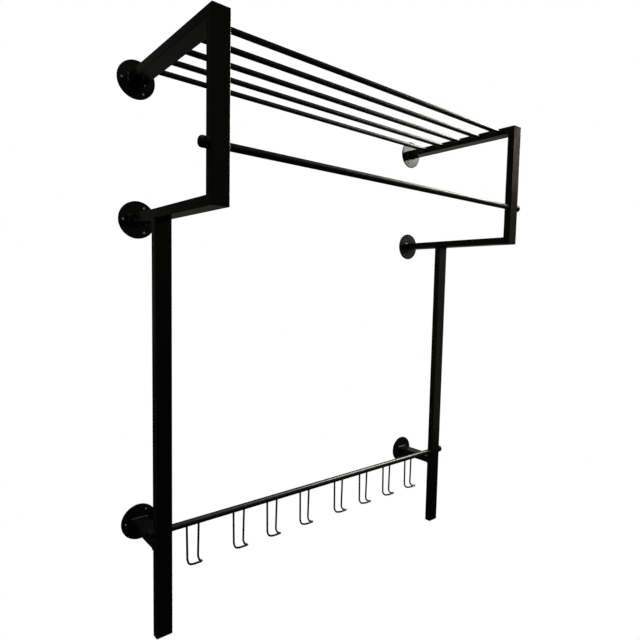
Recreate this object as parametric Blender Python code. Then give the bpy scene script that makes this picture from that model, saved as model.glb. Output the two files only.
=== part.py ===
"""Wall coat rack: two welded tube frames, a rod shelf, a hanging rail and a rail of sliding wire hooks.

Metres, +Z up. The wall is the plane y = 0, the rack stands out from it towards -Y, x = 0 is mid width,
and z = 0 is the lower end of the posts.
"""
import math

import bmesh
import bpy
from mathutils import Matrix, Vector

# Overall
WIDTH = 0.800                # outside to outside of the side frames
DEPTH = 0.327                # wall to the front face of the uprights
HEIGHT = 1.022               # lower end of the posts to the top of the shelf
CLEARANCE = 0.0003           # between pieces that touch

# Rectangular tube of the side frames
TUBE_WIDTH = 0.030           # side of the section that lies along X
TUBE_DEPTH = 0.016           # other side of the section
TUBE_WALL = 0.0010
TUBE_CORNER = 0.0012         # outer corner radius
LEAST_CORNER = 0.0002        # inside corners are never sharper than this

# Side frames
UPRIGHT_HEIGHT = 0.272       # top of the top arm to the underside of the lower arm
POST_CENTRE = 0.1185         # wall to the centre line of the posts
STRUT_HEIGHT = 0.170         # centre line of the struts and bottom flanges
PLUG_HEAD = 0.0025           # thickness of the plug that closes a post
PLUG_SPIGOT = 0.012          # depth of the plug inside the tube

# Wall flanges
FLANGE_DIAMETER = 0.070
FLANGE_THICKNESS = 0.004
FLANGE_HOLES = 3
FLANGE_HOLE_DIAMETER = 0.0045
FLANGE_HOLE_CIRCLE = 0.053

# Shelf
ROD_COUNT = 5
ROD_DIAMETER = 0.010
ROD_REAR_OFFSET = 0.067      # wall to the centre of the rear rod
ROD_FRONT_OFFSET = 0.041     # front of the uprights to the centre of the front rod

# Rails and their end caps
HANGING_RAIL_DIAMETER = 0.012
HANGING_RAIL_DROP = 0.186    # top of the shelf to the hanging rail's axis
HOOK_RAIL_DIAMETER = 0.013
HOOK_RAIL_HEIGHT = 0.196     # lower end of the posts to the hook rail's axis
HOOK_RAIL_WALL = 0.0015
CAP_DIAMETER = 0.017
CAP_LENGTH = 0.014
CAP_ROUND = 0.0045           # radius of the cap's outer edge
CAP_END = 0.004              # solid end of the cap beyond the rail

# Wire hooks
WIRE_DIAMETER = 0.0040
HOOK_PLACES = (-0.327, -0.2285, -0.149, -0.063, 0.0365, 0.1165, 0.198, 0.280)
HOOK_SPACING = 0.024         # between the two legs
HOOK_DROP = 0.075            # rail axis to the lowest part of the wire
HOOK_REACH = 0.020           # legs to the cross bar in front
HOOK_BEND = 0.007            # radius where the legs turn forward
HOOK_CORNER = 0.004          # radius where the toe turns into the cross bar
HOOK_RISE = math.radians(8)  # upward slope of the toe
HEAD_DIAMETER = 0.0068       # head of each leg, inside the slotted rail
HEAD_HEIGHT = 0.002
HEAD_SHOULDER = 0.00005      # drop from head to wire

# Facets
ROUND_SIDES = 24
FLANGE_SIDES = 48
CORNER_STEPS = 3             # along each corner of the rectangular tube
ROUND_STEPS = 4              # along the cap's rounded edge
BEND_STEPS = 5               # along each bend of the hook wire
WIRE_RESOLUTION = 2          # facets of the wire's section, as a curve's bevel counts them
SHARP_ANGLE = math.radians(35)
MERGE_DISTANCE = 1e-6

# Finishes
POWDER_BLACK = (0.011, 0.011, 0.010)
PLASTIC_BLACK = (0.014, 0.014, 0.014)
TUBE_ROUGHNESS = 0.42
PLATE_ROUGHNESS = 0.36
BAR_ROUGHNESS = 0.34
WIRE_ROUGHNESS = 0.38
CAP_ROUGHNESS = 0.48
PLUG_ROUGHNESS = 0.55

# Directions: local +Z of a piece along X, along Y, or forward with local +Y up
ALONG_X = Matrix.Rotation(math.pi / 2, 3, "Y").to_euler()
ALONG_Y = Matrix.Rotation(-math.pi / 2, 3, "X").to_euler()
FORWARD = Matrix.Rotation(math.pi / 2, 3, "X").to_euler()

# Places that follow from the sizes
TUBE_X = WIDTH / 2 - TUBE_WIDTH / 2
TOP_Z = HEIGHT - TUBE_DEPTH / 2
LOWER_Z = HEIGHT - UPRIGHT_HEIGHT + TUBE_DEPTH / 2
UPRIGHT_Y = -(DEPTH - TUBE_DEPTH / 2)
ARM_BACK = -(FLANGE_THICKNESS + CLEARANCE)
HANGING_RAIL_Z = HEIGHT - HANGING_RAIL_DROP
SIDES = (("left", -1), ("right", 1))


def clear_scene():
    """Remove whatever the scene held."""
    for found in list(bpy.data.objects):
        bpy.data.objects.remove(found)


def finish(name, colour, roughness):
    """A Principled material."""
    material = bpy.data.materials.new(name)
    material.use_nodes = True
    shader = material.node_tree.nodes["Principled BSDF"]
    shader.inputs["Base Color"].default_value = (*colour, 1.0)
    shader.inputs["Roughness"].default_value = roughness
    return material


def empty(name, location):
    """A parent for the pieces of one sub-assembly."""
    holder = bpy.data.objects.new(name, None)
    holder.location = location
    bpy.context.collection.objects.link(holder)
    return holder


def place(name, data, material, parent, world_location, rotation=None):
    """Put mesh or curve data in the scene as a named piece under its parent."""
    piece = bpy.data.objects.new(name, data)
    data.materials.append(material)
    bpy.context.collection.objects.link(piece)
    piece.parent = parent
    piece.location = Vector(world_location) - parent.location
    if rotation is not None:
        piece.rotation_euler = rotation
    return piece


def mesh_from(bm, name):
    """Close a bmesh into a smooth mesh with its faces pointing out."""
    bmesh.ops.recalc_face_normals(bm, faces=bm.faces)
    mesh = bpy.data.meshes.new(name)
    bm.to_mesh(mesh)
    bm.free()
    mesh.shade_smooth()
    mesh.set_sharp_from_angle(angle=SHARP_ANGLE)
    return mesh


def add_ring(bm, points):
    """Vertices of a closed ring."""
    return [bm.verts.new(point) for point in points]


def skin(bm, rings):
    """Join each ring to the next, point to point, with a band of quads."""
    for first, second in zip(rings, rings[1:]):
        for index in range(len(first)):
            after = (index + 1) % len(first)
            bm.faces.new((first[index], first[after], second[after], second[index]))


def section(width, depth, corner):
    """Points of a rectangle with rounded corners, centred on the origin."""
    points = []
    for quarter, (sx, sy) in enumerate(((1, 1), (-1, 1), (-1, -1), (1, -1))):
        centre_x = sx * (width / 2 - corner)
        centre_y = sy * (depth / 2 - corner)
        for step in range(CORNER_STEPS + 1):
            angle = math.pi / 2 * (quarter + step / CORNER_STEPS)
            points.append((centre_x + corner * math.cos(angle), centre_y + corner * math.sin(angle)))
    return points


def tube_mesh(name, length, start_mitre=0.0, end_mitre=0.0):
    """Rectangular tube along local +Z, its section in local XY.

    A mitre is the rise of that end along Z for each metre towards local +Y.
    """
    outer = section(TUBE_WIDTH, TUBE_DEPTH, TUBE_CORNER)
    inner_corner = max(TUBE_CORNER - TUBE_WALL, LEAST_CORNER)
    inner = section(TUBE_WIDTH - 2 * TUBE_WALL, TUBE_DEPTH - 2 * TUBE_WALL, inner_corner)
    bm = bmesh.new()
    start_outer = add_ring(bm, [(x, y, start_mitre * y) for x, y in outer])
    end_outer = add_ring(bm, [(x, y, length + end_mitre * y) for x, y in outer])
    end_inner = add_ring(bm, [(x, y, length + end_mitre * y) for x, y in inner])
    start_inner = add_ring(bm, [(x, y, start_mitre * y) for x, y in inner])
    skin(bm, [start_outer, end_outer, end_inner, start_inner, start_outer])
    return mesh_from(bm, name)


def bar_mesh(name, diameter, length, sides=ROUND_SIDES):
    """Solid round bar along local Z, centred on the origin."""
    radius = diameter / 2
    bm = bmesh.new()
    bmesh.ops.create_cone(bm, cap_ends=True, segments=sides, radius1=radius, radius2=radius, depth=length)
    return mesh_from(bm, name)


def cutter(name, diameter, length, parent, spots, rotation):
    """Round cutters centred on the given world points, as one hidden object."""
    radius = diameter / 2
    turn = rotation.to_matrix().to_4x4()
    bm = bmesh.new()
    for spot in spots:
        there = Matrix.Translation(Vector(spot)) @ turn
        bmesh.ops.create_cone(bm, cap_ends=True, segments=ROUND_SIDES, radius1=radius, radius2=radius,
                              depth=length, matrix=there)
    tool = bpy.data.objects.new(name, mesh_from(bm, name))
    bpy.context.collection.objects.link(tool)
    tool.parent = parent
    tool.matrix_parent_inverse = Matrix.Translation(-parent.location)
    tool.hide_render = True
    tool.display_type = "WIRE"
    return tool


def cut(piece, tool):
    """Subtract a cutter from a piece."""
    modifier = piece.modifiers.new("holes", "BOOLEAN")
    modifier.operation = "DIFFERENCE"
    modifier.object = tool


def rod_places():
    """Wall to rod centre, rear to front, evenly spaced."""
    pitch = (DEPTH - ROD_REAR_OFFSET - ROD_FRONT_OFFSET) / (ROD_COUNT - 1)
    return [ROD_REAR_OFFSET + index * pitch for index in range(ROD_COUNT)]


def drill_for_rail(piece, name, diameter, frame, spot):
    """A hole for a rail, right through a tube from side to side."""
    drill = diameter + 2 * CLEARANCE
    cut(piece, cutter(name, drill, 2 * TUBE_WIDTH, frame, [spot], ALONG_X))


def build_arms(side, sign, frame, steel):
    """Top and lower arm, mitred at the front, with rod holes in the top arm's inner wall."""
    length = -UPRIGHT_Y + ARM_BACK - CLEARANCE / 2
    top_mesh = tube_mesh("top_arm", length, end_mitre=1.0)
    top = place(f"{side}_top_arm", top_mesh, steel, frame, (sign * TUBE_X, ARM_BACK, TOP_Z), FORWARD)
    lower_mesh = tube_mesh("lower_arm", length, end_mitre=-1.0)
    place(f"{side}_lower_arm", lower_mesh, steel, frame, (sign * TUBE_X, ARM_BACK, LOWER_Z), FORWARD)
    inner_wall = sign * (TUBE_X - TUBE_WIDTH / 2)
    spots = [(inner_wall, -y, TOP_Z) for y in rod_places()]
    drill = ROD_DIAMETER + 2 * CLEARANCE
    # half the tube's width is long enough for one wall and stops short of the other
    cut(top, cutter(f"{side}_rod_holes", drill, TUBE_WIDTH / 2, frame, spots, ALONG_X))


def build_upright(side, sign, frame, steel):
    """Front upright, mitred at both ends, drilled for the hanging rail."""
    bottom = LOWER_Z + CLEARANCE / 2
    length = TOP_Z - LOWER_Z - CLEARANCE
    mesh = tube_mesh("front_upright", length, start_mitre=1.0, end_mitre=-1.0)
    upright = place(f"{side}_front_upright", mesh, steel, frame, (sign * TUBE_X, UPRIGHT_Y, bottom))
    spot = (sign * TUBE_X, UPRIGHT_Y, HANGING_RAIL_Z)
    drill_for_rail(upright, f"{side}_hanging_rail_hole", HANGING_RAIL_DIAMETER, frame, spot)


def build_post(side, sign, frame, steel):
    """Post under the lower arm, drilled for the hook rail."""
    bottom = PLUG_HEAD + CLEARANCE
    length = LOWER_Z - TUBE_DEPTH / 2 - CLEARANCE - bottom
    mesh = tube_mesh("post", length)
    post = place(f"{side}_post", mesh, steel, frame, (sign * TUBE_X, -POST_CENTRE, bottom))
    spot = (sign * TUBE_X, -POST_CENTRE, HOOK_RAIL_HEIGHT)
    drill_for_rail(post, f"{side}_hook_rail_hole", HOOK_RAIL_DIAMETER, frame, spot)


def build_strut(side, sign, frame, steel):
    """Short tube from the bottom flange to the back of the post."""
    length = POST_CENTRE - TUBE_DEPTH / 2 - CLEARANCE + ARM_BACK
    mesh = tube_mesh("strut", length)
    place(f"{side}_strut", mesh, steel, frame, (sign * TUBE_X, ARM_BACK, STRUT_HEIGHT), FORWARD)


def build_plug(side, sign, frame, plastic):
    """Plastic plug that closes the lower end of a post."""
    inset = TUBE_WALL + CLEARANCE
    spigot_corner = max(TUBE_CORNER - inset, LEAST_CORNER)
    head = section(TUBE_WIDTH, TUBE_DEPTH, TUBE_CORNER)
    spigot = section(TUBE_WIDTH - 2 * inset, TUBE_DEPTH - 2 * inset, spigot_corner)
    bm = bmesh.new()
    rings = [add_ring(bm, [(x, y, 0.0) for x, y in head])]
    rings.append(add_ring(bm, [(x, y, PLUG_HEAD) for x, y in head]))
    rings.append(add_ring(bm, [(x, y, PLUG_HEAD) for x, y in spigot]))
    rings.append(add_ring(bm, [(x, y, PLUG_HEAD + PLUG_SPIGOT) for x, y in spigot]))
    skin(bm, rings)
    bm.faces.new(rings[0])
    bm.faces.new(rings[-1])
    place(f"{side}_post_plug", mesh_from(bm, "post_plug"), plastic, frame, (sign * TUBE_X, -POST_CENTRE, 0.0))


def build_flanges(side, sign, frame, steel):
    """Three round wall plates; one screw hole of each points outwards."""
    heights = (("top", TOP_Z), ("middle", LOWER_Z), ("bottom", STRUT_HEIGHT))
    for level, z in heights:
        centre = Vector((sign * TUBE_X, -FLANGE_THICKNESS / 2, z))
        mesh = bar_mesh("flange", FLANGE_DIAMETER, FLANGE_THICKNESS, FLANGE_SIDES)
        flange = place(f"{side}_{level}_flange", mesh, steel, frame, centre, ALONG_Y)
        spots = []
        for hole in range(FLANGE_HOLES):
            angle = 2 * math.pi * hole / FLANGE_HOLES
            out = sign * FLANGE_HOLE_CIRCLE / 2 * math.cos(angle)
            spots.append(centre + Vector((out, 0.0, FLANGE_HOLE_CIRCLE / 2 * math.sin(angle))))
        # twice the plate's thickness runs past both faces
        depth = 2 * FLANGE_THICKNESS
        cut(flange, cutter(f"{side}_{level}_screw_holes", FLANGE_HOLE_DIAMETER, depth, frame, spots, ALONG_Y))


def build_rods(shelf, steel):
    """Shelf rods, let into both arms as far as the outer walls."""
    length = WIDTH - 2 * (TUBE_WALL + CLEARANCE)
    for index, y in enumerate(rod_places()):
        mesh = bar_mesh("shelf_rod", ROD_DIAMETER, length)
        place(f"shelf_rod_{index + 1}", mesh, steel, shelf, (0.0, -y, TOP_Z), ALONG_X)


def rail_length():
    """Rail end to rail end, inside the caps."""
    return WIDTH + 2 * (CAP_LENGTH - CAP_END)


def cap_mesh(name, rail_diameter):
    """End cap turned about local Z: open end at z = 0, rounded end at z = CAP_LENGTH."""
    radius = CAP_DIAMETER / 2
    bore = rail_diameter / 2 + CLEARANCE
    bore_end = CAP_LENGTH - CAP_END + CLEARANCE
    profile = [(0.0, bore_end), (bore, bore_end), (bore, 0.0), (radius, 0.0)]
    for step in range(ROUND_STEPS + 1):
        angle = math.pi / 2 * step / ROUND_STEPS
        profile.append((radius - CAP_ROUND + CAP_ROUND * math.cos(angle),
                        CAP_LENGTH - CAP_ROUND + CAP_ROUND * math.sin(angle)))
    profile.append((0.0, CAP_LENGTH))
    bm = bmesh.new()
    verts = [bm.verts.new((r, 0.0, z)) for r, z in profile]
    edges = [bm.edges.new(pair) for pair in zip(verts, verts[1:])]
    bmesh.ops.spin(bm, geom=verts + edges, cent=(0, 0, 0), axis=(0, 0, 1), angle=2 * math.pi,
                   steps=ROUND_SIDES, use_merge=True)
    bmesh.ops.remove_doubles(bm, verts=bm.verts, dist=MERGE_DISTANCE)
    return mesh_from(bm, name)


def build_caps(rail, diameter, y, z, holder, plastic):
    """A cap on each end of a rail, seated on the tubes' outer faces."""
    for side, sign in SIDES:
        face = sign * (WIDTH / 2 + CLEARANCE)
        outward = Matrix.Rotation(sign * math.pi / 2, 3, "Y").to_euler()
        mesh = cap_mesh("rail_cap", diameter)
        place(f"{rail}_cap_{side}", mesh, plastic, holder, (face, y, z), outward)


def build_hanging_rail(holder, steel, plastic):
    """Solid bar through both uprights."""
    mesh = bar_mesh("hanging_rail", HANGING_RAIL_DIAMETER, rail_length())
    place("hanging_rail", mesh, steel, holder, (0.0, UPRIGHT_Y, HANGING_RAIL_Z), ALONG_X)
    build_caps("hanging_rail", HANGING_RAIL_DIAMETER, UPRIGHT_Y, HANGING_RAIL_Z, holder, plastic)


def build_hook_rail(holder, steel, plastic):
    """Tube through both posts, slotted along its underside for the hooks."""
    slot = WIRE_DIAMETER + 2 * CLEARANCE
    outer = HOOK_RAIL_DIAMETER / 2
    inner = outer - HOOK_RAIL_WALL
    loops = []
    for radius in (outer, inner):
        lip = math.asin(slot / 2 / radius)
        sweep = 2 * math.pi - 2 * lip
        angles = [-math.pi / 2 + lip + sweep * step / ROUND_SIDES for step in range(ROUND_SIDES + 1)]
        loops.append([(radius * math.cos(angle), radius * math.sin(angle)) for angle in angles])
    outline = loops[0] + loops[1][::-1]
    bm = bmesh.new()
    half = rail_length() / 2
    ends = [add_ring(bm, [(x, y, z) for y, z in outline]) for x in (-half, half)]
    skin(bm, ends)
    for end in ends:
        bm.faces.new(end)
    place("hook_rail", mesh_from(bm, "hook_rail"), steel, holder, (0.0, -POST_CENTRE, HOOK_RAIL_HEIGHT))
    build_caps("hook_rail", HOOK_RAIL_DIAMETER, -POST_CENTRE, HOOK_RAIL_HEIGHT, holder, plastic)


def leg_points():
    """Centre line of the hook's right half, from the head to the cross bar, about the rail's axis.

    Each point is (x, y, z, thickness), with thickness as a multiple of the wire's.
    """
    bore = HOOK_RAIL_DIAMETER / 2 - HOOK_RAIL_WALL - CLEARANCE
    head = HEAD_DIAMETER / 2
    seat = -math.sqrt(bore ** 2 - head ** 2)
    swell = HEAD_DIAMETER / WIRE_DIAMETER
    leg = HOOK_SPACING / 2
    points = [(leg, 0.0, seat + HEAD_HEIGHT, swell), (leg, 0.0, seat, swell)]
    points.append((leg, 0.0, seat - HEAD_SHOULDER, 1.0))
    turn = math.pi / 2 + HOOK_RISE
    for step in range(BEND_STEPS + 1):
        angle = turn * step / BEND_STEPS
        forward = HOOK_BEND * (1 - math.cos(angle))
        points.append((leg, -forward, HOOK_BEND - HOOK_DROP - HOOK_BEND * math.sin(angle), 1.0))
    # the toe rises from the bend to the cross bar
    run = (HOOK_REACH - HOOK_BEND * (1 - math.cos(turn))) / math.cos(HOOK_RISE)
    start = Vector(points[-1][:3])
    toe = Vector((0.0, -math.cos(HOOK_RISE), math.sin(HOOK_RISE)))
    for step in range(BEND_STEPS + 1):
        angle = math.pi / 2 * step / BEND_STEPS
        along = run - HOOK_CORNER * (1 - math.sin(angle))
        inward = HOOK_CORNER * (1 - math.cos(angle))
        spot = start + toe * along - Vector((inward, 0.0, 0.0))
        points.append((*spot, 1.0))
    return points


def hook_curve(name):
    """One wire from head to head."""
    right = leg_points()
    left = [(-x, y, z, thickness) for x, y, z, thickness in reversed(right)]
    points = right + left
    curve = bpy.data.curves.new(name, "CURVE")
    curve.dimensions = "3D"
    curve.bevel_depth = WIRE_DIAMETER / 2
    curve.bevel_resolution = WIRE_RESOLUTION
    curve.use_fill_caps = True
    spline = curve.splines.new("POLY")
    spline.points.add(len(points) - 1)
    for slot, (x, y, z, thickness) in zip(spline.points, points):
        slot.co = (x, y, z, 1.0)
        slot.radius = thickness
    spline.use_smooth = True
    return curve


def build_hooks(holder, steel):
    """Wire hooks, each with its origin on the rail's axis, along which it slides."""
    for index, x in enumerate(HOOK_PLACES):
        curve = hook_curve("wire_hook")
        place(f"hook_{index + 1}", curve, steel, holder, (x, -POST_CENTRE, HOOK_RAIL_HEIGHT))


def main():
    """Build the rack."""
    clear_scene()
    tube_steel = finish("powder_coated_tube", POWDER_BLACK, TUBE_ROUGHNESS)
    plate_steel = finish("powder_coated_plate", POWDER_BLACK, PLATE_ROUGHNESS)
    bar_steel = finish("powder_coated_bar", POWDER_BLACK, BAR_ROUGHNESS)
    wire_steel = finish("powder_coated_wire", POWDER_BLACK, WIRE_ROUGHNESS)
    cap_plastic = finish("moulded_cap_plastic", PLASTIC_BLACK, CAP_ROUGHNESS)
    plug_plastic = finish("moulded_plug_plastic", PLASTIC_BLACK, PLUG_ROUGHNESS)
    for side, sign in SIDES:
        frame = empty(f"{side}_frame", (sign * TUBE_X, 0.0, 0.0))
        build_arms(side, sign, frame, tube_steel)
        build_upright(side, sign, frame, tube_steel)
        build_post(side, sign, frame, tube_steel)
        build_strut(side, sign, frame, tube_steel)
        build_plug(side, sign, frame, plug_plastic)
        build_flanges(side, sign, frame, plate_steel)
    build_rods(empty("shelf", (0.0, 0.0, TOP_Z)), bar_steel)
    build_hanging_rail(empty("hanging_line", (0.0, UPRIGHT_Y, HANGING_RAIL_Z)), bar_steel, cap_plastic)
    hook_line = empty("hook_line", (0.0, -POST_CENTRE, HOOK_RAIL_HEIGHT))
    build_hook_rail(hook_line, bar_steel, cap_plastic)
    build_hooks(hook_line, wire_steel)


main()
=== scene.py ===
import math

import bmesh
import bpy
from mathutils import Matrix, Vector


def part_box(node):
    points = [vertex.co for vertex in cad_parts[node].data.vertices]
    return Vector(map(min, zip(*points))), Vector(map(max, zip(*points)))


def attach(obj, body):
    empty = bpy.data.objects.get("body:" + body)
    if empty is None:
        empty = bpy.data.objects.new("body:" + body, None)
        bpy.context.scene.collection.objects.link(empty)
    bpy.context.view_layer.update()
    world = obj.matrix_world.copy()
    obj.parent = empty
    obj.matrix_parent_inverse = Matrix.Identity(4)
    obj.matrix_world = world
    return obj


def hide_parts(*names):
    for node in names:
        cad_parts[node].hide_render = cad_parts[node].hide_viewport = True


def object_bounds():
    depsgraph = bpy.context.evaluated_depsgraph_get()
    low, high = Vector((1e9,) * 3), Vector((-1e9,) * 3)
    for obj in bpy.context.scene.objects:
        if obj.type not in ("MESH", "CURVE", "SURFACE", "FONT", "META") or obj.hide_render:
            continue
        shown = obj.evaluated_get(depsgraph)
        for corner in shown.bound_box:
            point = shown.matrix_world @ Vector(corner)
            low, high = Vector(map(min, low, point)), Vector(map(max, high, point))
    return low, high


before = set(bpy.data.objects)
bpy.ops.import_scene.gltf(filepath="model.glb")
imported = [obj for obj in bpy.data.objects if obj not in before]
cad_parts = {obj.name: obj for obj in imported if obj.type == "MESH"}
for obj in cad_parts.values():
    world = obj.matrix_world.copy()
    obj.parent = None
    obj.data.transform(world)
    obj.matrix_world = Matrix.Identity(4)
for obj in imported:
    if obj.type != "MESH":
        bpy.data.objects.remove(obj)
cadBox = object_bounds()
scene = bpy.context.scene
sides = (("left", -1), ("right", 1))
levels = ("top", "middle", "bottom")
hookCount = 8
rodCount = 5
print("frame loaded:", len(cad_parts), "nodes")


def linear(hexColour):
    shades = [int(hexColour[at:at + 2], 16) / 255 for at in (1, 3, 5)]
    return [s / 12.92 if s <= 0.04045 else ((s + 0.055) / 1.055) ** 2.4 for s in shades] + [1.0]


def addNode(tree, kind, settings=None, links=None):
    node = tree.nodes.new(kind)
    for key, value in (settings or {}).items():
        if isinstance(key, int) or key in node.inputs:
            node.inputs[key].default_value = value
        else:
            setattr(node, key, value)
    for socket, (source, output) in (links or {}).items():
        tree.links.new(source.outputs[output], node.inputs[socket])
    return node


def perMetre(millimetres):
    return 1000.0 / millimetres  # scale of a texture whose features are this wide


# powder coat: epoxy-polyester baked on steel, black, satin; it gives the eye a fine orange peel,
# soft patches of different gloss, a little pale dust on what faces up, and rubbed corners whose lighter
# colour is wear and painted sheen
powderCoat = {
    "black": "#050504",
    "patch": "#090807",
    "dust": "#4a4741",
    # lighter colour of the rubbed corners: worn coat, and painted sheen
    "rubbedWearAndSheen": "#24231f",
    "ior": 1.5,
    "peelWidth": 1.4,       # mm; the real peel is about half as wide, too fine to show
    "peelDetail": 1.5,
    "peelHeight": 0.00003,
    "patchWidth": 85.0,     # mm
    "patchDetail": 3.0,
    "patchFrom": (0.35, 0.70),  # noise between which a patch fades in
    "smudgeWidth": 16.0,    # mm
    "smudgeDetail": 4.0,
    "smudgeFrom": (0.30, 0.70),
    "smudge": 0.03,         # change of roughness
    "dustWidth": 5.0,       # mm
    "dustDetail": 5.0,
    "dustFrom": (0.55, 1.0),    # how far up a face looks where dust starts to lie, and lies in full
    "dustShare": 0.02,
    "rubWidth": 7.0,        # mm, length of the rubbed stretches along a corner
    "rubDetail": 3.0,
    "rubFrom": (0.45, 0.75),
    "rubPolish": 0.10,      # roughness that rubbing takes off
}


def makePowderCoat(name, roughness, peel, shine=0.5):
    material = bpy.data.materials.new(name)
    material.use_nodes = True
    tree = material.node_tree
    shader = tree.nodes["Principled BSDF"]
    shader.inputs["IOR"].default_value = powderCoat["ior"]
    shader.inputs["Specular IOR Level"].default_value = shine
    place = addNode(tree, "ShaderNodeTexCoord")
    surface = addNode(tree, "ShaderNodeNewGeometry")
    corner = addNode(tree, "ShaderNodeAttribute", {"attribute_name": "cornerRub"})
    noise = {}
    for layer in ("patch", "smudge", "dust", "peel", "rub"):
        noise[layer] = addNode(tree, "ShaderNodeTexNoise",
                               {"Scale": perMetre(powderCoat[layer + "Width"]),
                                "Detail": powderCoat[layer + "Detail"]},
                               {"Vector": (place, "Object")})

    # colour: black, a shade lighter in broad patches, dusty on top, and lighter on the rubbed corners from
    # wear and painted sheen
    patchMin, patchMax = powderCoat["patchFrom"]
    patchShare = addNode(tree, "ShaderNodeMapRange", {"From Min": patchMin, "From Max": patchMax},
                         {"Value": (noise["patch"], "Fac")})
    coat = addNode(tree, "ShaderNodeMixRGB",
                   {"Color1": linear(powderCoat["black"]), "Color2": linear(powderCoat["patch"])},
                   {"Fac": (patchShare, "Result")})
    normal = addNode(tree, "ShaderNodeSeparateXYZ", {}, {"Vector": (surface, "Normal")})
    dustMin, dustMax = powderCoat["dustFrom"]
    upward = addNode(tree, "ShaderNodeMapRange",
                     {"From Min": dustMin, "From Max": dustMax, "To Max": powderCoat["dustShare"]},
                     {"Value": (normal, "Z")})
    dusty = addNode(tree, "ShaderNodeMath", {"operation": "MULTIPLY"},
                    {0: (upward, "Result"), 1: (noise["dust"], "Fac")})
    dusted = addNode(tree, "ShaderNodeMixRGB", {"Color2": linear(powderCoat["dust"])},
                     {"Fac": (dusty, "Value"), "Color1": (coat, "Color")})
    rubMin, rubMax = powderCoat["rubFrom"]
    rubbedPlaces = addNode(tree, "ShaderNodeMapRange", {"From Min": rubMin, "From Max": rubMax},
                           {"Value": (noise["rub"], "Fac")})
    rubbedWearAndSheen = addNode(tree, "ShaderNodeMath", {"operation": "MULTIPLY"},
                     {0: (rubbedPlaces, "Result"), 1: (corner, "Fac")})
    # rubbed corners turn lighter: wear, and painted sheen
    colour = addNode(tree, "ShaderNodeMixRGB", {"Color2": linear(powderCoat["rubbedWearAndSheen"])},
                     {"Fac": (rubbedWearAndSheen, "Value"), "Color1": (dusted, "Color")})
    tree.links.new(colour.outputs["Color"], shader.inputs["Base Color"])

    # gloss: hands leave smudges that are smoother or duller than the rest
    smudgeMin, smudgeMax = powderCoat["smudgeFrom"]
    dull = addNode(tree, "ShaderNodeMapRange",
                   {"From Min": smudgeMin, "From Max": smudgeMax, "To Min": roughness - powderCoat["smudge"],
                    "To Max": roughness + powderCoat["smudge"]},
                   {"Value": (noise["smudge"], "Fac")})
    worn = addNode(tree, "ShaderNodeMath", {"operation": "MULTIPLY_ADD", 1: -powderCoat["rubPolish"]},
                   {0: (rubbedWearAndSheen, "Value"), 2: (dull, "Result")})
    tree.links.new(worn.outputs["Value"], shader.inputs["Roughness"])

    bump = addNode(tree, "ShaderNodeBump", {"Strength": peel, "Distance": powderCoat["peelHeight"]},
                   {"Height": (noise["peel"], "Fac")})
    tree.links.new(bump.outputs["Normal"], shader.inputs["Normal"])
    return material


# moulded polyethylene: injection moulded with an eroded tool,
# so a dull, finely pitted black with a soft sheen
mouldedPlastic = {
    "black": "#080808",
    "scuffed": "#141312",
    "ior": 1.51,
    "sheen": 0.10,
    "pitWidth": 0.7,        # mm; coarser than the tool's real grain so that it shows
    "pitHeight": 0.00004,
    "pitStrength": 0.5,
    "scuffWidth": 9.0,      # mm
    "scuffDetail": 5.0,
    "scuffFrom": (0.5, 0.8),    # noise between which a scuff fades in
    "smudgeFrom": (0.3, 0.7),
    "smudge": 0.05,         # change of roughness
}


def makeMouldedPlastic(name, roughness):
    material = bpy.data.materials.new(name)
    material.use_nodes = True
    tree = material.node_tree
    shader = tree.nodes["Principled BSDF"]
    shader.inputs["IOR"].default_value = mouldedPlastic["ior"]
    shader.inputs["Specular IOR Level"].default_value = mouldedPlastic["sheen"]
    place = addNode(tree, "ShaderNodeTexCoord")
    scuff = addNode(tree, "ShaderNodeTexNoise",
                    {"Scale": perMetre(mouldedPlastic["scuffWidth"]),
                     "Detail": mouldedPlastic["scuffDetail"]},
                    {"Vector": (place, "Object")})
    pit = addNode(tree, "ShaderNodeTexVoronoi", {"Scale": perMetre(mouldedPlastic["pitWidth"])},
                  {"Vector": (place, "Object")})
    scuffMin, scuffMax = mouldedPlastic["scuffFrom"]
    share = addNode(tree, "ShaderNodeMapRange", {"From Min": scuffMin, "From Max": scuffMax},
                    {"Value": (scuff, "Fac")})
    colour = addNode(tree, "ShaderNodeMixRGB",
                     {"Color1": linear(mouldedPlastic["black"]), "Color2": linear(mouldedPlastic["scuffed"])},
                     {"Fac": (share, "Result")})
    tree.links.new(colour.outputs["Color"], shader.inputs["Base Color"])
    smudgeMin, smudgeMax = mouldedPlastic["smudgeFrom"]
    dull = addNode(tree, "ShaderNodeMapRange",
                   {"From Min": smudgeMin, "From Max": smudgeMax,
                    "To Min": roughness - mouldedPlastic["smudge"],
                    "To Max": roughness + mouldedPlastic["smudge"]},
                   {"Value": (scuff, "Fac")})
    tree.links.new(dull.outputs["Result"], shader.inputs["Roughness"])
    bump = addNode(tree, "ShaderNodeBump",
                   {"Strength": mouldedPlastic["pitStrength"], "Distance": mouldedPlastic["pitHeight"]},
                   {"Height": (pit, "Distance")})
    tree.links.new(bump.outputs["Normal"], shader.inputs["Normal"])
    return material


tubeCoat = makePowderCoat("satinPowderCoatOnTube", roughness=0.23, peel=0.08)
plateCoat = makePowderCoat("satinPowderCoatOnPlate", roughness=0.28, peel=0.08)
barCoat = makePowderCoat("satinPowderCoatOnBar", roughness=0.37, peel=0.03)
# the hooks that slide on it polish the lower rail
slidCoat = makePowderCoat("slidPowderCoatOnBar", roughness=0.37, peel=0.03, shine=0.75)
wireCoat = makePowderCoat("satinPowderCoatOnWire", roughness=0.36, peel=0.06)
weldCoat = makePowderCoat("satinPowderCoatOnWeld", roughness=0.52, peel=0.20)
capPlastic = makeMouldedPlastic("mouldedCapPlastic", roughness=0.58)
plugPlastic = makeMouldedPlastic("mouldedPlugPlastic", roughness=0.52)
print("finishes made")


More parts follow.
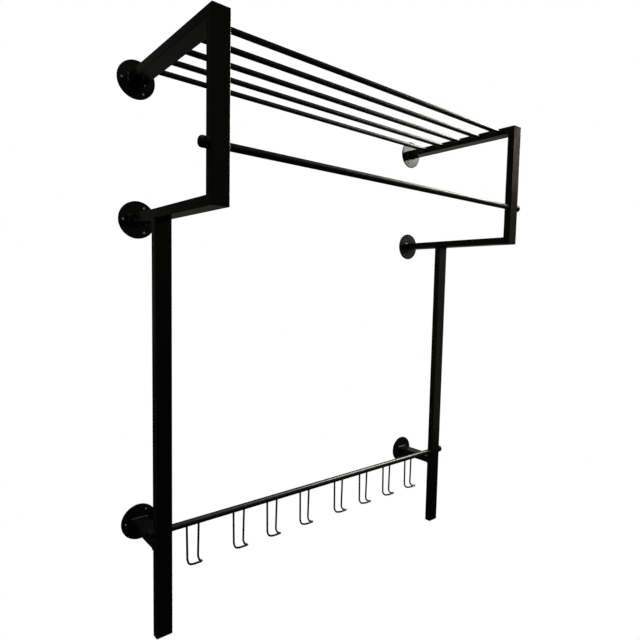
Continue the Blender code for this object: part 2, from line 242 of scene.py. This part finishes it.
# shared by all the pieces
finishing = {
    "merge": 0.000001,
    "sharpAngle": math.radians(40),
    "aligned": 0.9,         # share of a unit direction that counts as along an axis
    "rim": 0.00025,         # softened edge where a piece was sawn
    "rimSteps": 2,
}


def boxShape(bm, low, high):
    size = high - low
    place = Matrix.Translation((low + high) / 2) @ Matrix.Diagonal((*size, 1.0))
    bmesh.ops.create_cube(bm, size=1.0, matrix=place)
    bm.normal_update()


def roundShape(bm, middle, radius, length, count, turn):
    bmesh.ops.create_cone(bm, cap_ends=True, segments=count, radius1=radius, radius2=radius, depth=length,
                          matrix=Matrix.Translation(middle) @ turn)


def runsAlong(edge, axis):
    return abs((edge.verts[0].co - edge.verts[1].co).normalized()[axis]) > finishing["aligned"]


def softenSharp(bm, width, steps, chosen=None):
    # rounds every edge that is sharper than the limit, or those that chosen picks
    bmesh.ops.recalc_face_normals(bm, faces=bm.faces)
    sharp = [e for e in bm.edges if e.is_manifold and e.calc_face_angle() > finishing["sharpAngle"]]
    if chosen:
        sharp = [e for e in sharp if chosen(e)]
    bmesh.ops.bevel(bm, geom=sharp, offset=width, offset_type="OFFSET", affect="EDGES", segments=steps,
                    profile=0.5, material=-1, clamp_overlap=True)


def addPiece(name, mesh, material, body="frame", nodes=()):
    mesh.materials.clear()
    mesh.materials.append(material)
    mesh.shade_smooth()
    mesh.set_sharp_from_angle(angle=finishing["sharpAngle"])
    piece = bpy.data.objects.new(name, mesh)
    scene.collection.objects.link(piece)
    flatFaces = piece.modifiers.new("flatFaces", "WEIGHTED_NORMAL")  # flats stay flat beside round corners
    flatFaces.keep_sharp = True
    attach(piece, body)
    if nodes:
        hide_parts(*nodes)


def closeMesh(bm, name):
    bmesh.ops.recalc_face_normals(bm, faces=bm.faces)
    mesh = bpy.data.meshes.new(name)
    bm.to_mesh(mesh)
    bm.free()
    return mesh


def applied(holder):
    # the mesh that an object's modifiers or a curve's bevel give, with the object removed
    graph = bpy.context.evaluated_depsgraph_get()
    mesh = bpy.data.meshes.new_from_object(holder.evaluated_get(graph))
    bpy.data.objects.remove(holder)
    return mesh


def drilled(mesh, holes, turn, count):
    # holes are (middle, radius, length)
    bm = bmesh.new()
    for middle, radius, length in holes:
        roundShape(bm, middle, radius, length, count, turn)
    drill = bpy.data.objects.new("drill", closeMesh(bm, "drill"))
    blank = bpy.data.objects.new("blank", mesh)
    for part in (drill, blank):
        scene.collection.objects.link(part)
    cut = blank.modifiers.new("holes", "BOOLEAN")
    cut.operation = "DIFFERENCE"
    cut.solver = "EXACT"
    cut.object = drill
    result = applied(blank)
    bpy.data.objects.remove(drill)
    return result


alongX = Matrix.Rotation(math.pi / 2, 4, "Y")
alongY = Matrix.Rotation(math.pi / 2, 4, "X")


# rectangular tube of the side frames: welded seam tube, 30 x 16, mitred at the front corners
tube = {
    "corner": 0.0012,
    "cornerSteps": 6,
    "wall": 0.0010,
    "holeGap": 0.0003,
    "holeSides": 48,
    "railDrill": 0.08,      # length of the drill, through both walls
    "rodDrill": 0.012,      # through the inner wall alone
    "tuck": 0.0003,         # a butted end runs this far into the weld
}


def rubMask(bm, low, high, along):
    # 1 along the middle of each rounded corner, 0 on the flats
    layer = bm.verts.layers.float.new("cornerRub")
    across = [axis for axis in range(3) if axis != along]
    crown = tube["corner"] * (1 - math.sqrt(0.5))
    for vert in bm.verts:
        inset = min(min(vert.co[a] - low[a], high[a] - vert.co[a]) for a in across)
        vert[layer] = min(1.0, max(0.0, inset / crown))


def tubeMesh(name, low, high, along, mitres):
    bm = bmesh.new()
    boxShape(bm, low, high)
    ends = [f for f in bm.faces if abs(f.normal[along]) > finishing["aligned"]]
    bmesh.ops.delete(bm, geom=ends, context="FACES_ONLY")
    corners = [e for e in bm.edges if runsAlong(e, along)]
    bmesh.ops.bevel(bm, geom=corners, offset=tube["corner"], offset_type="OFFSET", affect="EDGES",
                    segments=tube["cornerSteps"], profile=0.5, material=-1)
    bmesh.ops.recalc_face_normals(bm, faces=bm.faces)
    bmesh.ops.solidify(bm, geom=bm.faces[:], thickness=tube["wall"])
    for point, away in mitres:
        everything = bm.verts[:] + bm.edges[:] + bm.faces[:]
        cut = bmesh.ops.bisect_plane(bm, geom=everything, dist=finishing["merge"], plane_co=point,
                                     plane_no=away, clear_outer=True)
        rim = [part for part in cut["geom_cut"] if isinstance(part, bmesh.types.BMEdge)]
        bmesh.ops.bridge_loops(bm, edges=rim)
    softenSharp(bm, finishing["rim"], finishing["rimSteps"])
    rubMask(bm, low, high, along)
    return closeMesh(bm, name)


def railHole(rail, x):
    low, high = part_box(rail)
    middle = (low + high) / 2
    return (Vector((x, middle.y, middle.z)), (high.z - low.z) / 2 + tube["holeGap"], tube["railDrill"])


def makeSideFrame(side, sign):
    parts = ("top_arm", "front_upright", "lower_arm", "post", "strut")
    box = {part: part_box(f"{side}_{part}") for part in parts}
    front = box["front_upright"][0].y
    top = box["top_arm"][1].z
    under = box["lower_arm"][0].z
    x = (box["post"][0].x + box["post"][1].x) / 2
    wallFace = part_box(f"{side}_top_flange")[0].y + tube["tuck"]
    topCorner = (Vector((x, front, top)), Vector((0, 1, 1)))
    lowCorner = (Vector((x, front, under)), Vector((0, 1, -1)))

    def stretched(part, **ends):
        low, high = box[part][0].copy(), box[part][1].copy()
        for end, value in ends.items():  # an end is named for its corner and axis, such as lowY
            setattr(low if end.startswith("low") else high, end[-1].lower(), value)
        return low, high

    low, high = stretched("top_arm", lowY=front, highY=wallFace)
    mesh = tubeMesh("topArm", low, high, 1, [(topCorner[0], -topCorner[1])])
    innerWall = x - sign * (high.x - low.x) / 2
    holes = []
    for number in range(1, rodCount + 1):
        rodLow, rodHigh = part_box(f"shelf_rod_{number}")
        middle = (rodLow + rodHigh) / 2
        spot = Vector((innerWall, middle.y, middle.z))
        holes.append((spot, (rodHigh.z - rodLow.z) / 2 + tube["holeGap"], tube["rodDrill"]))
    addPiece(f"{side}TopArm", drilled(mesh, holes, alongX, tube["holeSides"]), tubeCoat,
             nodes=[f"{side}_top_arm"])

    low, high = stretched("lower_arm", lowY=front, highY=wallFace)
    mesh = tubeMesh("lowerArm", low, high, 1, [(lowCorner[0], -lowCorner[1])])
    addPiece(f"{side}LowerArm", mesh, tubeCoat, nodes=[f"{side}_lower_arm"])

    low, high = stretched("front_upright", lowZ=under, highZ=top)
    mesh = tubeMesh("frontUpright", low, high, 2, [topCorner, lowCorner])
    mesh = drilled(mesh, [railHole("hanging_rail", x)], alongX, tube["holeSides"])
    addPiece(f"{side}FrontUpright", mesh, tubeCoat, nodes=[f"{side}_front_upright"])

    low, high = stretched("post", highZ=under + tube["tuck"])
    mesh = tubeMesh("post", low, high, 2, [])
    mesh = drilled(mesh, [railHole("hook_rail", x)], alongX, tube["holeSides"])
    addPiece(f"{side}Post", mesh, tubeCoat, nodes=[f"{side}_post"])

    low, high = stretched("strut", lowY=box["post"][1].y - tube["tuck"], highY=wallFace)
    mesh = tubeMesh("strut", low, high, 1, [])
    addPiece(f"{side}Strut", mesh, tubeCoat, nodes=[f"{side}_strut"])


for side, sign in sides:
    makeSideFrame(side, sign)
print("side frames made")


# round wall plate, laser cut from 4 mm sheet, three screw holes with broken edges
plate = {
    "sides": 96,
    "rim": 0.0007,
    "rimSteps": 3,
    "holes": 3,
    "holeSides": 32,
    "hole": 0.0045,
    "holeCircle": 0.053,
    "holeRim": 0.0005,
    "drill": 0.012,         # length of the drill, well past both faces
}


def screwSpots(side, sign, level):
    # middle of each screw hole; one of them points outwards
    low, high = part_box(f"{side}_{level}_flange")
    spots = []
    for number in range(plate["holes"]):
        angle = 2 * math.pi * number / plate["holes"]
        out = Vector((sign * math.cos(angle), 0.0, math.sin(angle))) * plate["holeCircle"] / 2
        spots.append((low + high) / 2 + out)
    return spots


def makePlate(side, sign, level):
    node = f"{side}_{level}_flange"
    low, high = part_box(node)
    bm = bmesh.new()
    roundShape(bm, (low + high) / 2, (high.z - low.z) / 2, high.y - low.y, plate["sides"], alongY)
    softenSharp(bm, plate["rim"], plate["rimSteps"])
    spots = screwSpots(side, sign, level)
    holes = [(spot, plate["hole"] / 2, plate["drill"]) for spot in spots]
    mesh = drilled(closeMesh(bm, "wallPlate"), holes, alongY, plate["holeSides"])

    # break the edges of the holes alone
    bm = bmesh.new()
    bm.from_mesh(mesh)
    reach = plate["hole"] / 2 + finishing["rim"]

    def onHoleRim(edge):
        flat = abs(edge.verts[0].co.y - edge.verts[1].co.y) < finishing["merge"]
        return flat and any(all(((v.co - spot) * Vector((1, 0, 1))).length < reach for v in edge.verts)
                            for spot in spots)

    softenSharp(bm, plate["holeRim"], plate["rimSteps"], onHoleRim)
    addPiece(f"{side}{level.title()}Plate", closeMesh(bm, "wallPlate"), plateCoat,
             nodes=[node])


for side, sign in sides:
    for level in levels:
        makePlate(side, sign, level)
print("wall plates made")


# shelf rods and hanging rail: drawn round bar with broken ends
bar = {
    "sides": 48,
    "endRim": 0.0007,
    "endSteps": 3,
}


def makeBar(node, name):
    low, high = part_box(node)
    bm = bmesh.new()
    roundShape(bm, (low + high) / 2, (high.z - low.z) / 2, high.x - low.x, bar["sides"], alongX)
    softenSharp(bm, bar["endRim"], bar["endSteps"])
    addPiece(name, closeMesh(bm, name), barCoat, nodes=[node])


for number in range(1, rodCount + 1):
    makeBar(f"shelf_rod_{number}", f"shelfRod{number}")
makeBar("hanging_rail", "hangingRail")
print("rods and hanging rail made")


# hook rail: round tube with a slot along its underside
slotted = {
    "steps": 64,
    "wall": 0.0015,
    "slot": 0.0046,
    "rim": 0.00025,
}


def makeHookRail():
    low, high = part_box("hook_rail")
    middle = (low + high) / 2
    radius = (high.z - low.z) / 2
    bm = bmesh.new()
    for reach in (radius, radius - slotted["wall"]):
        lip = math.asin(slotted["slot"] / 2 / reach)  # the walls of the slot stand upright
        start = bm.verts.new((low.x, middle.y + reach * math.sin(lip), middle.z - reach * math.cos(lip)))
        bmesh.ops.spin(bm, geom=[start], cent=middle, axis=(1, 0, 0), angle=2 * math.pi - 2 * lip,
                       steps=slotted["steps"])
    bmesh.ops.bridge_loops(bm, edges=bm.edges[:])
    drawn = bmesh.ops.extrude_face_region(bm, geom=bm.faces[:])
    moved = [part for part in drawn["geom"] if isinstance(part, bmesh.types.BMVert)]
    bmesh.ops.translate(bm, verts=moved, vec=(high.x - low.x, 0, 0))
    softenSharp(bm, slotted["rim"], finishing["rimSteps"])
    addPiece("hookRail", closeMesh(bm, "hookRail"), slidCoat, nodes=["hook_rail"])


makeHookRail()
print("hook rail made")


# end caps of the rails: moulded, domed, with a plain seat against the tube
cap = {
    "sides": 64,
    "gap": 0.0003,          # between the rail and the bore
    "end": 0.0037,          # solid end beyond the rail
    "round": 0.0045,
    "roundSteps": 10,
    "seatRim": 0.0004,
    "dimple": 0.0016,       # radius of the moulding gate's dimple
    "dimpleFloor": 0.00096,
    "dimpleDepth": 0.0004,
}


def makeCap(rail, side, sign):
    node = f"{rail}_cap_{side}"
    low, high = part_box(node)
    middle = (low + high) / 2
    seat = low.x if sign > 0 else high.x
    length = high.x - low.x
    radius = (high.z - low.z) / 2
    railLow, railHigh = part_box(rail)
    bore = (railHigh.z - railLow.z) / 2 + cap["gap"]
    profile = [(0.0, length - cap["end"]), (bore, length - cap["end"]), (bore, 0.0)]
    profile += [(radius - cap["seatRim"], 0.0), (radius, cap["seatRim"])]
    for step in range(cap["roundSteps"] + 1):
        angle = math.pi / 2 * step / cap["roundSteps"]
        profile.append((radius - cap["round"] * (1 - math.cos(angle)),
                        length - cap["round"] * (1 - math.sin(angle))))
    profile += [(cap["dimple"], length), (cap["dimpleFloor"], length - cap["dimpleDepth"])]
    profile.append((0.0, length - cap["dimpleDepth"]))
    bm = bmesh.new()
    verts = [bm.verts.new((seat + sign * along, middle.y, middle.z + out)) for out, along in profile]
    edges = [bm.edges.new(pair) for pair in zip(verts, verts[1:])]
    bmesh.ops.spin(bm, geom=verts + edges, cent=middle, axis=(1, 0, 0), angle=2 * math.pi, steps=cap["sides"],
                   use_merge=True)
    bmesh.ops.remove_doubles(bm, verts=bm.verts, dist=finishing["merge"])
    name = "".join(word.title() for word in rail.split("_"))
    addPiece(f"{side}{name}Cap", closeMesh(bm, "railCap"), capPlastic, nodes=[node])


for rail in ("hanging_rail", "hook_rail"):
    for side, sign in sides:
        makeCap(rail, side, sign)
print("end caps made")


# plug in the lower end of each post: moulded, with a rounded head and two sealing ribs
plug = {
    "head": 0.0025,
    "rim": 0.0007,
    "gap": 0.0003,          # between the spigot and the tube
    "spigotCorner": 0.0003,
    "ribs": (0.0050, 0.0095),   # height of each rib above the foot
    "ribThickness": 0.0012,
    "ribReach": 0.0002,
}


def plugBlock(bm, low, high, corner):
    part = bmesh.new()
    boxShape(part, low, high)
    upright = [e for e in part.edges if runsAlong(e, 2)]
    bmesh.ops.bevel(part, geom=upright, offset=corner, offset_type="OFFSET", affect="EDGES",
                    segments=tube["cornerSteps"], profile=0.5, material=-1)
    mesh = closeMesh(part, "plugBlock")
    bm.from_mesh(mesh)
    bpy.data.meshes.remove(mesh)


def makePlug(side):
    node = f"{side}_post_plug"
    low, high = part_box(node)
    bm = bmesh.new()
    plugBlock(bm, low, Vector((high.x, high.y, low.z + plug["head"])), tube["corner"])
    foot = low.z + finishing["rim"]
    softenSharp(bm, plug["rim"], finishing["rimSteps"], lambda e: max(v.co.z for v in e.verts) < foot)
    inset = Vector((1, 1, 0)) * (tube["wall"] + plug["gap"])
    overlap = Vector((0, 0, plug["head"] - plug["rim"]))
    plugBlock(bm, low + inset + overlap, high - inset, plug["spigotCorner"])
    reach = inset - Vector((plug["ribReach"], plug["ribReach"], 0))
    for height in plug["ribs"]:
        under = Vector((low.x, low.y, low.z + height)) + reach
        crown = Vector((high.x, high.y, low.z + height + plug["ribThickness"])) - reach
        plugBlock(bm, under, crown, plug["spigotCorner"])
    addPiece(f"{side}PostPlug", closeMesh(bm, "postPlug"), plugPlastic, nodes=[node])


for side, _ in sides:
    makePlug(side)
print("post plugs made")


# wire hooks: one bent wire each, both ends headed inside the rail
hook = {
    "wire": 0.0040,
    "spacing": 0.024,       # between the legs at the rail
    "lean": 0.0012,         # each leg leans in by this much on its way down
    "drop": 0.075,          # from the rail's axis to the lowest bend
    "reach": 0.020,         # of the cross bar, out from the legs
    "bend": 0.0075,         # radius where a leg turns outwards
    "bendSteps": 14,
    "corner": 0.006,        # radius where the toe turns into the cross bar
    "cornerSteps": 10,
    "rise": math.radians(20),   # of the toe
    "head": 0.0068,
    "headHeight": 0.002,
    "headGap": 0.0003,      # between the head and the inside of the rail
    "headRound": 0.0005,
    "headStep": 0.00005,    # height in which the head narrows to the wire
    "sectionSteps": 6,
}


def hookLine(railRadius):
    # right half from head to cross bar, as (x, y, z, thickness), about the rail's axis
    leg = hook["spacing"] / 2
    swell = hook["head"] / hook["wire"]
    bore = railRadius - slotted["wall"] - hook["headGap"]
    seat = -math.sqrt(bore ** 2 - (hook["head"] / 2) ** 2)
    crown = seat + hook["headHeight"]
    line = [(leg, 0.0, crown, swell - 2 * hook["headRound"] / hook["wire"])]
    line.append((leg, 0.0, crown - hook["headRound"], swell))
    line.append((leg, 0.0, seat, swell))
    line.append((leg, 0.0, seat - hook["headStep"], 1.0))
    turn = math.pi / 2 + hook["rise"]
    for step in range(hook["bendSteps"] + 1):
        angle = turn * step / hook["bendSteps"]
        line.append((leg - hook["lean"], -hook["bend"] * (1 - math.cos(angle)),
                     hook["bend"] * (1 - math.sin(angle)) - hook["drop"], 1.0))
    foot = Vector(line[-1][:3])
    toe = Vector((0.0, -math.cos(hook["rise"]), math.sin(hook["rise"])))
    run = (hook["reach"] + foot.y) / math.cos(hook["rise"])
    for step in range(hook["cornerSteps"] + 1):
        angle = math.pi / 2 * step / hook["cornerSteps"]
        spot = foot + toe * (run - hook["corner"] * (1 - math.sin(angle)))
        line.append((spot.x - hook["corner"] * (1 - math.cos(angle)), spot.y, spot.z, 1.0))
    return line


def wireMesh(name, line, thickness, sectionSteps, closed=False):
    wire = bpy.data.curves.new(name, "CURVE")
    wire.dimensions = "3D"
    wire.bevel_depth = thickness / 2
    wire.bevel_resolution = sectionSteps
    wire.use_fill_caps = not closed
    spline = wire.splines.new("POLY")
    spline.points.add(len(line) - 1)
    spline.use_cyclic_u = closed
    for point, (x, y, z, swell) in zip(spline.points, line):
        point.co = (x, y, z, 1.0)
        point.radius = swell
    holder = bpy.data.objects.new(name, wire)
    scene.collection.objects.link(holder)
    mesh = applied(holder)
    bpy.data.curves.remove(wire)
    return mesh


def makeHook(number):
    node = f"hook_{number}"
    low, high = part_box(node)
    railLow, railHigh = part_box("hook_rail")
    axis = (railLow + railHigh) / 2
    middle = Vector(((low.x + high.x) / 2, axis.y, axis.z))
    right = hookLine((railHigh.z - railLow.z) / 2)
    whole = right + [(-x, y, z, swell) for x, y, z, swell in reversed(right)]
    line = [(x + middle.x, y + middle.y, z + middle.z, swell) for x, y, z, swell in whole]
    mesh = wireMesh("wireHook", line, hook["wire"], hook["sectionSteps"])
    addPiece(f"wireHook{number}", mesh, wireCoat, body=node, nodes=[node])


for number in range(1, hookCount + 1):
    makeHook(number)
print("hooks made")


# fillet welds under the powder coat: a round bead with a ripple where each drop of metal froze
weld = {
    "bead": 0.0019,         # radius at a tube's joint
    "rodBead": 0.0012,      # radius at a shelf rod
    "pitch": 0.0020,        # between ripples
    "perRipple": 5,         # points along each ripple
    "leastPoints": 4,
    "ripple": 0.10,
    "sectionSteps": 4,
    "cornerSteps": 6,
}


def evenPoints(path, spacing, closed):
    ends = path + path[:1] if closed else path
    lengths = [(b - a).length for a, b in zip(ends, ends[1:])]
    count = max(weld["leastPoints"], round(sum(lengths) / spacing))
    points = []
    stretch = 0
    passed = 0.0
    for number in range(count if closed else count + 1):
        target = sum(lengths) * number / count
        while stretch < len(lengths) - 1 and passed + lengths[stretch] < target:
            passed += lengths[stretch]
            stretch += 1
        share = (target - passed) / lengths[stretch]
        points.append(ends[stretch].lerp(ends[stretch + 1], min(1.0, share)))
    return points


def beadMesh(name, path, radius, closed):
    points = evenPoints(path, weld["pitch"] / weld["perRipple"], closed)
    line = []
    for number, point in enumerate(points):
        phase = math.pi * number / weld["perRipple"]
        line.append((*point, 1.0 - weld["ripple"] * (1 - abs(math.sin(phase)))))
    return wireMesh(name, line, 2 * radius, weld["sectionSteps"], closed)


def tubeOutline(low, high, along, level):
    # the tube's outline in the plane where it meets something
    first, second = [axis for axis in range(3) if axis != along]
    points = []
    signs = ((1, 1), (-1, 1), (-1, -1), (1, -1))
    for quarter, (s, t) in enumerate(signs):
        middleA = (high[first] if s > 0 else low[first]) - s * tube["corner"]
        middleB = (high[second] if t > 0 else low[second]) - t * tube["corner"]
        for step in range(weld["cornerSteps"] + 1):
            angle = math.pi / 2 * (quarter + step / weld["cornerSteps"])
            point = Vector((0, 0, 0))
            point[along] = level
            point[first] = middleA + tube["corner"] * math.cos(angle)
            point[second] = middleB + tube["corner"] * math.sin(angle)
            points.append(point)
    return points


def addBead(name, path, radius, closed):
    addPiece(name, beadMesh("weldBead", path, radius, closed), weldCoat)


def makeWelds(side, sign):
    armToLevel = {"top_arm": "top", "lower_arm": "middle", "strut": "bottom"}
    for part, level in armToLevel.items():
        low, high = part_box(f"{side}_{part}")
        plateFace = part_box(f"{side}_{level}_flange")[0].y
        addBead(f"{side}{level.title()}PlateWeld", tubeOutline(low, high, 1, plateFace), weld["bead"], True)

    postLow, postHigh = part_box(f"{side}_post")
    low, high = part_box(f"{side}_strut")
    addBead(f"{side}StrutWeld", tubeOutline(low, high, 1, postHigh.y), weld["bead"], True)

    # straight beads across the tube, inside the frame's corners
    armLow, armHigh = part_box(f"{side}_lower_arm")
    topLow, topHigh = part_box(f"{side}_top_arm")
    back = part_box(f"{side}_front_upright")[1].y
    inset = weld["bead"]
    lines = {
        "PostFrontWeld": (postLow.y, armLow.z),
        "PostBackWeld": (postHigh.y, armLow.z),
        "TopCornerWeld": (back, topLow.z),
        "LowCornerWeld": (back, armHigh.z),
    }
    for name, (y, z) in lines.items():
        path = [Vector((postLow.x + inset, y, z)), Vector((postHigh.x - inset, y, z))]
        addBead(f"{side}{name}", path, weld["bead"], False)

    # a ring round each rod where it enters the arm
    inner = topLow.x if sign > 0 else topHigh.x
    for number in range(1, rodCount + 1):
        low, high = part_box(f"shelf_rod_{number}")
        middle = (low + high) / 2
        radius = (high.z - low.z) / 2
        ring = []
        for step in range(bar["sides"]):
            angle = 2 * math.pi * step / bar["sides"]
            out = Vector((0.0, math.cos(angle), math.sin(angle))) * radius
            ring.append(Vector((inner, middle.y, middle.z)) + out)
        addBead(f"{side}Rod{number}Weld", ring, weld["rodBead"], True)


for side, sign in sides:
    makeWelds(side, sign)
print("welds made")


# the stage: a round pale floor below the hanging rack, faded at its rim, and white air all round
stage = {
    "floorRadius": 1.10,
    "floorHeight": -0.95,
    "floorMiddle": (0.0, -0.20),
    "floorSides": 96,
    "floorColour": "#f4f3f0",
    "floorGlow": 0.32,      # keeps the floor pale in the dim room
    "fade": 0.45,           # width of the faded rim
    "air": "#ffffff",
    "room": "#1a1a19",      # what the dim room adds to reflections
    "paintRoughness": 0.9,
    "wallColour": "#e6e5e1",
    "wallGlow": 0.10,       # the little light that gets behind a plate
    "wallGap": 0.0003,      # between a plate's back and the wall
    "spotRadius": 0.0028,
}


def makeMattPaint(name, colour, glow):
    paint = bpy.data.materials.new(name)
    paint.use_nodes = True
    shader = paint.node_tree.nodes["Principled BSDF"]
    shader.inputs["Base Color"].default_value = linear(colour)
    shader.inputs["Roughness"].default_value = stage["paintRoughness"]
    shader.inputs["Emission Color"].default_value = linear(colour)
    shader.inputs["Emission Strength"].default_value = glow
    return paint


def makeFloorPaint():
    # pale matt paint that thins out to nothing at the rim
    paint = makeMattPaint("paleFloorPaint", stage["floorColour"], stage["floorGlow"])
    tree = paint.node_tree
    shader = tree.nodes["Principled BSDF"]
    place = addNode(tree, "ShaderNodeTexCoord")
    outward = addNode(tree, "ShaderNodeVectorMath", {"operation": "LENGTH"}, {0: (place, "Object")})
    cover = addNode(tree, "ShaderNodeMapRange",
                    {"From Min": stage["floorRadius"] - stage["fade"], "From Max": stage["floorRadius"],
                     "To Min": 1.0, "To Max": 0.0, "interpolation_type": "SMOOTHSTEP"},
                    {"Value": (outward, "Value")})
    tree.links.new(cover.outputs["Result"], shader.inputs["Alpha"])
    return paint


def makeStage():
    bm = bmesh.new()
    bmesh.ops.create_circle(bm, cap_ends=True, segments=stage["floorSides"], radius=stage["floorRadius"])
    floor = bpy.data.objects.new("floor", closeMesh(bm, "floor"))
    floor.location = (*stage["floorMiddle"], stage["floorHeight"])
    scene.collection.objects.link(floor)
    floor.data.materials.append(makeFloorPaint())
    floor.visible_glossy = False  # the rack's gloss shows the lights and the room, not the floor

    world = bpy.data.worlds.new("studioRoom")
    scene.world = world
    world.use_nodes = True
    tree = world.node_tree
    tree.nodes.clear()
    white = addNode(tree, "ShaderNodeBackground", {"Color": linear(stage["air"])})
    room = addNode(tree, "ShaderNodeBackground", {"Color": linear(stage["room"])})
    ray = addNode(tree, "ShaderNodeLightPath")
    mixed = addNode(tree, "ShaderNodeMixShader", {},
                    {"Fac": (ray, "Is Camera Ray"), 1: (room, "Background"), 2: (white, "Background")})
    addNode(tree, "ShaderNodeOutputWorld", {}, {"Surface": (mixed, "Shader")})


def makeWallSpots():
    # bits of the wall, only a little larger than the screw holes that they show through
    paint = makeMattPaint("wallPaint", stage["wallColour"], stage["wallGlow"])
    bm = bmesh.new()
    for side, sign in sides:
        for level in levels:
            for spot in screwSpots(side, sign, level):
                back = Vector((spot.x, cadBox[1].y + stage["wallGap"], spot.z))
                bmesh.ops.create_circle(bm, cap_ends=True, segments=plate["holeSides"],
                                        radius=stage["spotRadius"], matrix=Matrix.Translation(back) @ alongY)
    spots = bpy.data.objects.new("wallSpots", closeMesh(bm, "wallSpots"))
    spots.data.materials.append(paint)
    scene.collection.objects.link(spots)


makeStage()
makeWallSpots()


# soft boxes round the rack: two above it, and the rest where its faces mirror them in the photograph's view;
# rightLamp draws the bright line along the rods and rails, plateLamp pales the right top plate,
# and frontLeft and behind give the back views their sheen
lamps = {
    "keyLeft": {"place": (-1.3, -1.2, 3.4), "aim": (0.0, -0.2, 0.5), "size": (1.5, 1.5),
                "watts": 28.0, "tint": "#ffffff"},
    "overhead": {"place": (-0.7, 0.8, 3.6), "aim": (0.0, 0.0, 0.5), "size": (1.5, 1.2),
                 "watts": 38.0, "tint": "#ffffff"},
    "rightLamp": {"place": (1.33, -0.32, 1.43), "aim": (0.2, -0.1, 0.7), "size": (0.40, 0.70),
                  "watts": 28.0, "tint": "#fffbf2", "spares": ("leftTopPlate", "rightTopPlate")},
    "plateLamp": {"place": (0.715, -0.29, 1.14), "aim": (0.385, 0.0, 1.0), "size": (0.10, 0.10),
                  "watts": 0.43, "tint": "#fdfcee"},
    "rightFront": {"place": (2.4, -1.5, 1.55), "aim": (0.385, -0.3, 0.9), "size": (1.3, 0.8),
                   "watts": 0.26, "tint": "#ffc08e"},
    "rightLow": {"place": (2.4, -1.5, 0.35), "aim": (0.385, -0.3, 0.6), "size": (1.3, 1.6),
                 "watts": 0.88, "tint": "#f8f6da"},
    "frontHigh": {"place": (0.25, -3.0, 2.3), "aim": (0.0, 0.0, 0.9), "size": (1.1, 1.2),
                  "watts": 0.36, "tint": "#fafaf0"},
    "front": {"place": (1.1, -3.0, 1.6), "aim": (0.0, 0.0, 0.9), "size": (1.6, 1.8),
              "watts": 0.32, "tint": "#fafae4"},
    "backRight": {"place": (2.0, 1.75, 0.50), "aim": (0.3, -0.1, 0.8), "size": (1.9, 1.4),
                  "watts": 1.6, "tint": "#fff8e8"},
    "backLow": {"place": (0.6, 2.2, 0.1), "aim": (-0.2, -0.1, 0.9), "size": (1.6, 1.3),
                "watts": 0.30, "tint": "#fafae8"},
    "backLeft": {"place": (-0.75, 2.2, 1.45), "aim": (-0.4, -0.1, 0.9), "size": (1.2, 2.5),
                 "watts": 0.50, "tint": "#fcfae8"},
    "frontLeft": {"place": (-2.0, -2.5, 0.15), "aim": (0.0, 0.0, 0.6), "size": (1.8, 2.0),
                  "watts": 2.4, "tint": "#fafaf0"},
    "behind": {"place": (-0.3, 3.2, 0.0), "aim": (0.0, 0.0, 0.6), "size": (0.8, 1.4),
               "watts": 1.0, "tint": "#fafaf0"},
    "leftWall": {"place": (-3.0, 2.0, 0.7), "aim": (0.3, -0.2, 0.6), "size": (2.2, 3.8),
                 "watts": 1.1, "tint": "#fff4e2"},
}


def makeLamp(name, spec):
    data = bpy.data.lights.new(name, "AREA")
    data.shape = "RECTANGLE"
    data.size, data.size_y = spec["size"]
    data.energy = spec["watts"]
    data.color = linear(spec["tint"])[:3]
    lamp = bpy.data.objects.new(name, data)
    lamp.location = spec["place"]
    aim = Vector(spec["aim"]) - Vector(spec["place"])
    lamp.rotation_euler = aim.to_track_quat("-Z", "Y").to_euler()
    lamp.visible_camera = False
    scene.collection.objects.link(lamp)
    if "spares" in spec:  # pieces that its glancing light would bleach from the side
        spared = bpy.data.collections.new(f"{name}Spares")
        for pieceName in spec["spares"]:
            spared.objects.link(bpy.data.objects[pieceName])
        for member in spared.collection_objects:
            member.light_linking.link_state = "EXCLUDE"
        lamp.light_linking.receiver_collection = spared


for name, spec in lamps.items():
    makeLamp(name, spec)
print("stage and lamps made")


# the photograph's viewpoint: in front of the rack, to its left and below its shelf
viewpoint = {
    "place": (-0.7403, -0.9863, 0.6401),
    "turn": (-40.117, -4.406, 1.219),   # degrees: yaw to the right, pitch down, roll
    "lens": 28.871,
    "sensor": 36.0,
    "shift": (-0.01055, 0.00969),
    "clip": (0.02, 60.0),
}


def makeCamera():
    data = bpy.data.cameras.new("viewpoint")
    data.lens = viewpoint["lens"]
    data.sensor_width = viewpoint["sensor"]
    data.shift_x, data.shift_y = viewpoint["shift"]
    data.clip_start, data.clip_end = viewpoint["clip"]
    camera = bpy.data.objects.new("viewpoint", data)
    yaw, pitch, roll = (math.radians(angle) for angle in viewpoint["turn"])
    turn = Matrix.Rotation(yaw, 4, "Z") @ Matrix.Rotation(math.pi / 2 + pitch, 4, "X")
    turn = turn @ Matrix.Rotation(roll, 4, "Z")
    camera.matrix_world = Matrix.Translation(viewpoint["place"]) @ turn
    scene.collection.objects.link(camera)
    scene.camera = camera


makeCamera()
scene.view_settings.view_transform = "Standard"
print("camera placed")
